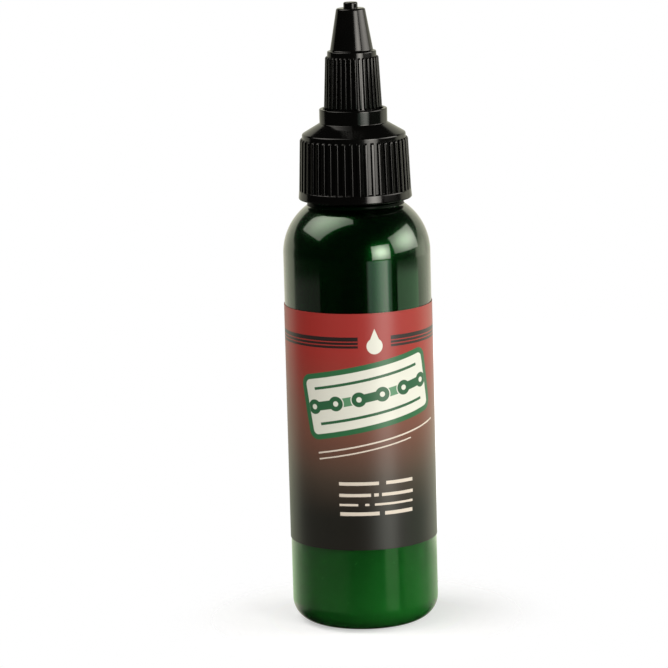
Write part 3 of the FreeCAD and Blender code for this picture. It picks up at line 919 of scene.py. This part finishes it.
class LUBE_OT_closure(bpy.types.Operator):
    """Builds the screw base: flange, ribbed skirt, shoulder, collar, spout, plug seal and pin"""
    bl_idname = "lube.closure"
    bl_label = "Screw base"

    def execute(self, context):
        s = context.scene.lube_bottle.closure
        bottle = context.scene.lube_bottle.bottle
        black = black_plastic(s.black)
        flange_top = FLANGE_BOTTOM + s.flange_height
        skirt_top = s.skirt_bore + s.skirt_wall
        skirt_foot = skirt_top + s.skirt_taper
        flange = skirt_foot + s.flange_ledge
        edge = BOTTLE_TOP + s.shoulder_rise
        shoulder = edge + s.shoulder_height
        collar_top, collar_floor = shoulder + s.collar_height, shoulder + s.collar_floor
        collar_bore = s.collar_radius - s.collar_wall
        spout_top = collar_floor + s.spout_height
        plug_bore = s.plug_radius - s.plug_wall
        plug_low = BOTTLE_TOP - s.plug_depth
        shell = rounded([
            (s.skirt_bore, BOTTLE_TOP, SOFT_ROUND),
            (s.skirt_bore, FLANGE_BOTTOM, FINE_ROUND),
            (flange, FLANGE_BOTTOM, s.flange_rounding),
            (flange - s.flange_draft, flange_top, s.flange_rounding),
            (skirt_foot, flange_top, FINE_ROUND),
            (skirt_top, edge, s.shoulder_rounding),
            (s.collar_radius, shoulder, SOFT_ROUND),
            (s.collar_radius, collar_top, s.collar_rounding),
            (collar_bore, collar_top, s.collar_rounding),
            (collar_bore, collar_floor, FINE_ROUND),
            (s.spout_radius, collar_floor, FINE_ROUND),
            (s.spout_radius, spout_top, FINE_ROUND),
            (s.spout_bore, spout_top, FINE_ROUND),
            (s.spout_bore, BOTTLE_TOP + s.funnel_height, FINE_ROUND),
            (plug_bore, BOTTLE_TOP, FINE_ROUND),
            (plug_bore, plug_low, FINE_ROUND),
            (s.plug_radius, plug_low, FINE_ROUND),
            (s.plug_radius, BOTTLE_TOP, FINE_ROUND),
        ], closed=True)
        outline = supported(with_rows(shell, s.skirt_bore, SKIRT_ROWS, closed=True), closed=True)
        web_low = spout_top - s.web_height
        pin = rounded([
            (0.0, web_low - s.pin_foot),
            (s.pin_radius, web_low - s.pin_foot, FINE_ROUND),
            (s.pin_radius, PIN_TOP, s.pin_rounding),
            (0.0, PIN_TOP),
        ])
        form = merged(turned(outline, WIDE_SEGMENTS, closed=True), turned(supported(pin), PIN_SEGMENTS))
        piece = mesh_piece("screw_base", form, black)
        grown(piece, thread_tree(), Radius=s.skirt_bore, Start=FLANGE_BOTTOM + SKIRT_THREAD_START,
              Lead=bottle.thread_lead, Turns=SKIRT_THREAD_TURNS, Depth=-s.thread_depth, Finish=black)
        round_end = rib_end(edge - s.shoulder_rounding - s.rib_drop, s.rib_depth)
        stations = [(flange_top - FINE_ROUND, skirt_foot + s.rib_depth),
                    *((height, skirt_top + rise) for height, rise in round_end)]
        rib = rib_form(stations, skirt_top - SKIRT_RIB_SINK, s.rib_width, s.rib_edge)
        ribbed(piece, rib, s.rib_count, black)
        web_root = (s.spout_bore + s.spout_radius) / 2
        stations = [(web_low, web_root), (spout_top - FINE_ROUND, web_root)]
        ribbed(piece, rib_form(stations, WEB_START, s.web_width, FINE_ROUND), s.web_count, black)
        settled(piece, "closure_body", "closure_base")
        return {"FINISHED"}


class LUBE_OT_tip(bpy.types.Operator):
    """Builds the twist tip: ribbed sleeve, ledge, conical nozzle and orifice"""
    bl_idname = "lube.tip"
    bl_label = "Twist tip"

    def execute(self, context):
        s = context.scene.lube_bottle.tip
        closure = context.scene.lube_bottle.closure
        black = black_plastic(closure.black)
        ledge = TIP_BOTTOM + s.sleeve_height
        collar_floor = BOTTLE_TOP + closure.shoulder_rise + closure.shoulder_height + closure.collar_floor
        bore_top = collar_floor + closure.spout_height + s.headroom
        land = NOZZLE_TOP - s.orifice_land
        outline = rounded([
            (s.bore, bore_top, FINE_ROUND),
            (s.bore, TIP_BOTTOM, FINE_ROUND),
            (s.sleeve_foot, TIP_BOTTOM, SOFT_ROUND),
            (s.sleeve_top, ledge, s.ledge_rounding),
            (s.nozzle_foot, ledge, s.nozzle_foot_rounding),
            (s.nozzle_top, NOZZLE_TOP, s.nozzle_rounding),
            (s.orifice, NOZZLE_TOP, FINE_ROUND),
            (s.orifice, land, LAND_ROUND),
            (s.nozzle_top - s.nozzle_wall, land, LAND_ROUND),
            (s.nozzle_foot - s.nozzle_wall, bore_top, FINE_ROUND),
        ], closed=True)
        form = turned(supported(outline, closed=True), SLIM_SEGMENTS, closed=True)
        piece = mesh_piece("dripper_tip", form, black)
        taper = (s.sleeve_foot - s.sleeve_top) / s.sleeve_height
        lower = rib_end(TIP_BOTTOM + s.rib_low_end, s.rib_depth, side=-1)[::-1]
        upper = rib_end(ledge - s.rib_high_end, s.rib_depth)
        stations = [(height, s.sleeve_foot - (height - TIP_BOTTOM) * taper + rise)
                    for height, rise in lower + upper]
        rib = rib_form(stations, s.sleeve_top - TIP_RIB_SINK, s.rib_width, s.rib_edge)
        ribbed(piece, rib, s.rib_count, black)
        settled(piece, "tip_body", "twist_tip")
        return {"FINISHED"}


# Radii of the floor's disc, and the band in which it fades out
FLOOR_RADII = (0.0, 20 * MM, 60 * MM)
FLOOR_GONE, FLOOR_FULL = 45 * MM, 16 * MM
FLOOR_TONES = ((0.66, 0.68, 0.72), (0.69, 0.71, 0.75))


def floor_material():
    """White floor that keeps the shadow near the bottle and fades into the white around it."""
    material, tree, shader = new_material("White floor")
    place = object_place(tree)
    across, along, _ = split(place)
    grain = noise(place, scale=300.0, detail=3.0, roughness=0.5)
    path = node(tree, "ShaderNodeLightPath").outputs
    under = node(tree, "ShaderNodeNewGeometry").outputs["Backfacing"]
    presence = 1.0 - (Value(path["Is Glossy Ray"]) | under)
    fill(shader, Base_Color=blended(grain, *FLOOR_TONES),
         Roughness=0.6, Specular_IOR_Level=0.0,
         Emission_Color=(1.0, 1.0, 1.0, 1.0), Emission_Strength=Value(path["Is Camera Ray"]) * 0.38,
         Alpha=presence * reach(across, along).ramp(FLOOR_GONE, FLOOR_FULL))
    return material


LAMP_DISTANCE, LAMP_TARGET = 800 * MM, 85 * MM
WATTS_PER_AREA = 4


def softbox(name, aim, size, brightness, warmth, rim=1.0, cut=None):
    """A soft panel lamp that faces the bottle's shoulder.

    Aim is its azimuth, 0 in front and 90 on the right, and its elevation. Its brightness is that of
    the middle; rim is the share that is left at its corners. Cut takes a corner off: the height where
    the cut starts at the left side and its slope, both as shares of the lamp.
    """
    width, height = size
    lamp = bpy.data.lights.new(name, "AREA")
    lamp.shape = "RECTANGLE"
    lamp.size, lamp.size_y = width, height
    lamp.energy = brightness * WATTS_PER_AREA * width * height
    lamp.color = warmth
    lamp.use_nodes = True
    tree = lamp.node_tree
    across, up, _ = split(node(tree, "ShaderNodeNewGeometry").outputs["Parametric"])
    strength = reach(across - 0.5, up - 0.5).ramp(0.02, 0.62) * (rim - 1.0) + 1.0
    if cut:
        start, slope = cut
        strength = strength * (up - across * slope - start).ramp(0.01, -0.01)
    fill(tree.nodes["Emission"], Strength=strength)
    holder = bpy.data.objects.new(name, lamp)
    turn, climb = (math.radians(part) for part in aim)
    away = Vector((math.sin(turn) * math.cos(climb), -math.cos(turn) * math.cos(climb), math.sin(climb)))
    holder.location = Vector((0, 0, LAMP_TARGET)) + away * LAMP_DISTANCE
    holder.rotation_mode = "QUATERNION"
    holder.rotation_quaternion = away.to_track_quat("Z", "Y")
    holder.visible_camera = False
    bpy.context.scene.collection.objects.link(holder)
    return holder


def white_studio(s):
    """World: white for the camera, and for the object pale behind, a lit table and a dark room in front."""
    world = bpy.data.worlds.new("White studio")
    world.use_nodes = True
    tree = world.node_tree
    x, y, z = split(node(tree, "ShaderNodeTexCoord").outputs["Generated"])
    # all directions in degrees: round to the right or left from the front, and up
    right = calc("ARCTAN2", x, -y) * math.degrees(1)
    left = -right
    climb = calc("ARCSINE", z) * math.degrees(1)

    def zone(value, low, high, soft):
        """One between two angles, with soft borders."""
        return value.ramp(low - soft, low + soft) * value.ramp(high + soft, high - soft)

    near = climb.ramp(-16.0, -8.5)
    # the window's strip on the table narrows towards the bottle's foot; further away it has a bright line
    narrowed = right - climb.ramp(-11.0, -13.8) * 17.0
    window = narrowed.ramp(12.5, 18.5) * right.ramp(56.0, 52.0)
    strip = window * climb.ramp(-18.5, -8.5) * climb.ramp(-6.2, -7.0)
    upper = strip * climb.ramp(-11.0, -10.2)
    line = right.ramp(22.0, 47.0) * right.ramp(51.0, 46.0)
    # the pale surroundings lean to the back higher up, and are brighter on the right
    lean = (climb - 4.0 | 0.0) * 1.5
    wider = climb.ramp(-9.4, -8.6) * climb.ramp(6.0, 0.0)
    leaned = right - lean + wider * 5.0
    flank = zone(right, 108.0, 134.0, 6.0) * climb.ramp(-9.4, -8.5) * climb.ramp(8.0, 0.0)
    low_flank = right.ramp(114.0, 128.0) * climb.ramp(-9.9, -10.6)
    # they start sharply for the dome and slowly for the foot
    sharp = leaned.ramp(107.0, 112.0) | (left - lean).ramp(114.0, 120.0)
    sharp = sharp * (flank * 0.6 + low_flank * 0.9 + 1.0)
    slow = right.ramp(80.0, 150.0) * 0.75 | left.ramp(88.0, 150.0)
    low = climb.ramp(-13.2, -13.9)
    start = sharp + low * (slow - sharp)
    behind = start * climb.ramp(58.0, 22.0) * climb.ramp(-34.0, -14.0)
    beside = zone(right, 65.0, 110.0, 1.5) * near * climb.ramp(-9.25, -9.45)
    left_side = zone(left, 62.0, 116.0, 1.5) * near * climb.ramp(-9.35, -9.60)
    left_near = zone(left, 28.0, 116.0, 14.0) * climb.ramp(-10.2, -11.4) * climb.ramp(-24.0, -15.0)
    glow = s.room
    for mask, brightness in (
            (strip, s.table_front), (upper * (line - 0.14), s.glint),
            (beside, s.table_right), (left_side, s.table_left),
            (left_near, s.table_near), (behind, s.backdrop)):
        glow = mask * brightness + glow
    surroundings = s.warmth
    for mask, tint in (
            (behind, s.backdrop_tint), (low * climb.ramp(-17.5, -15.2), s.table_tint),
            (beside, s.side_tint), (upper * (1.0 - line * 0.75), s.strip_tint)):
        surroundings = blended(mask, surroundings, tint)
    path = node(tree, "ShaderNodeLightPath").outputs
    first = calc("LESS_THAN", Value(path["Diffuse Depth"]), 0.5)
    seen = first * path["Is Transmission Ray"] | path["Is Camera Ray"]
    fill(tree.nodes["Background"], Color=blended(seen, surroundings, (1.0, 1.0, 1.0)), Strength=seen | glow)
    bpy.context.scene.world = world


class LUBE_OT_stage(bpy.types.Operator):
    """Sets the floor, the soft light, the white surroundings and the camera"""
    bl_idname = "lube.stage"
    bl_label = "Stage"

    def execute(self, context):
        s = context.scene.lube_bottle.studio
        disc = turned([(radius, 0.0) for radius in FLOOR_RADII], FLOOR_SEGMENTS)
        floor = mesh_piece("floor", disc, floor_material())
        if floor.data.polygons[0].normal.z < 0:
            floor.data.flip_normals()
        white_studio(s)
        softbox("key_window", (38.0, 8.0), (0.43, 0.37), s.key_light, s.warmth, rim=0.3)
        softbox("side_panel", (86.0, 18.0), (0.78, 0.45), s.side_light, s.warmth, rim=0.3)
        softbox("top_softbox", (-91.0, 57.0), (0.72, 0.90), s.top_light, s.warmth, rim=0.4,
                cut=(0.325, 0.877))
        front = softbox("front_fill", (-22.0, 15.0), (1.2, 0.9), s.fill_light, s.warmth)
        front.visible_glossy = False
        front.visible_transmission = False
        camera = bpy.data.objects.new("camera", bpy.data.cameras.new("camera"))
        camera.data.sensor_width = 36.0
        camera.data.lens = s.lens
        camera.data.clip_start, camera.data.clip_end = 0.05, 20.0
        place = Matrix.Translation((-s.camera_offset, -s.camera_distance, s.camera_height))
        tilt = Matrix.Rotation(QUARTER_TURN - s.camera_pitch, 4, "X")
        camera.matrix_world = place @ tilt @ Matrix.Rotation(-s.camera_roll, 4, "Z")
        context.scene.collection.objects.link(camera)
        context.scene.camera = camera
        context.scene.view_settings.view_transform = "Standard"
        return {"FINISHED"}


OPERATORS = (LUBE_OT_bottle, LUBE_OT_contents, LUBE_OT_label, LUBE_OT_closure, LUBE_OT_tip, LUBE_OT_stage)


class LUBE_PT_panel(bpy.types.Panel):
    """Lists the pieces of the lube bottle"""
    bl_idname = "LUBE_PT_panel"
    bl_label = "Lube bottle"
    bl_space_type = "VIEW_3D"
    bl_region_type = "UI"
    bl_category = "Lube bottle"

    def draw(self, context):
        for operator in OPERATORS:
            self.layout.operator(operator.bl_idname)


CLASSES = (BottleSettings, LabelSettings, ClosureSettings, TipSettings, StudioSettings, LubeBottleSettings,
           *OPERATORS, LUBE_PT_panel)


def register():
    for entry in CLASSES:
        bpy.utils.register_class(entry)
    bpy.types.Scene.lube_bottle = PointerProperty(type=LubeBottleSettings)


def unregister():
    del bpy.types.Scene.lube_bottle
    for entry in reversed(CLASSES):
        bpy.utils.unregister_class(entry)


def main():
    register()
    bpy.ops.lube.bottle()
    bpy.ops.lube.contents()
    bpy.ops.lube.label()
    bpy.ops.lube.closure()
    bpy.ops.lube.tip()
    bpy.ops.lube.stage()


if __name__ == "__main__":
    main()
